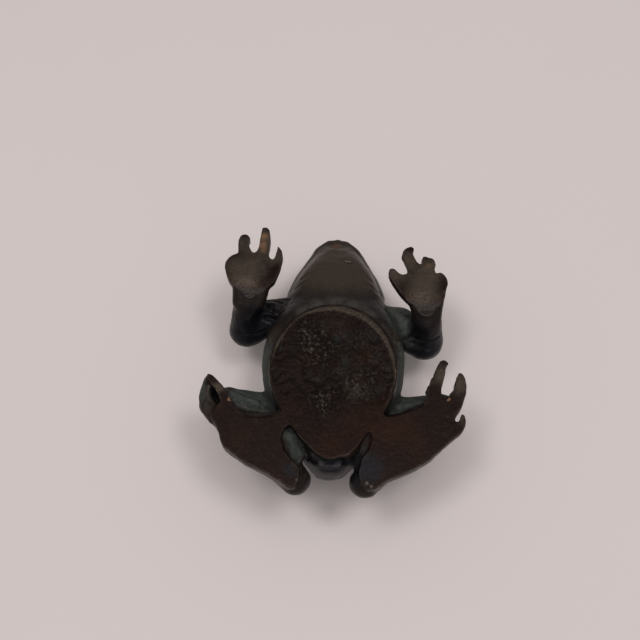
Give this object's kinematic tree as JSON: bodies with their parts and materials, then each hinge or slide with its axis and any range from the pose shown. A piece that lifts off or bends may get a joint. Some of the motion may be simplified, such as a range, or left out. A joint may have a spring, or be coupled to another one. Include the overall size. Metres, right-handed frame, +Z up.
{
  "type": "frog figure",
  "caption": "Cast bronze frog figure on its back, hollow body closed by an egg-shaped belly plate, limbs bent so that belly, palms and soles share one plane.",
  "frame": {"origin": "bottom centre of the bounding box, on the surface that the frog's back lies on", "axes": "+Z up out of the belly, +Y towards the snout, +X towards the frog's left side. It is stored lying on its back, as in the picture; turned half round about Y it stands on belly, palms and soles"},
  "size_m": [0.0848, 0.0956, 0.036],
  "materials": {
    "verdigris_bronze": "green and brown patina, satin",
    "belly_bronze": "reddish brown patina, worn",
    "dark_bronze": "dark brown patina, satin",
    "dowel_brass": "bare metal"
  },
  "bodies": {
    "root": {"back_shell": "verdigris_bronze", "belly_plate": "belly_bronze", "right_upper_arm": "dark_bronze", "right_forearm": "dark_bronze", "right_thigh": "dark_bronze", "right_foot": "dark_bronze", "left_upper_arm": "dark_bronze", "left_forearm": "dark_bronze", "left_thigh": "dark_bronze", "left_foot": "dark_bronze", "right_shoulder_dowel": "dowel_brass", "right_elbow_dowel": "dowel_brass", "right_hip_dowel": "dowel_brass", "right_heel_dowel": "dowel_brass", "left_shoulder_dowel": "dowel_brass", "left_elbow_dowel": "dowel_brass", "left_hip_dowel": "dowel_brass", "left_heel_dowel": "dowel_brass", "belly_dowel_front": "dowel_brass", "belly_dowel_rear": "dowel_brass", "belly_dowel_right": "dowel_brass", "belly_dowel_left": "dowel_brass"}
  },
  "joints": []
}
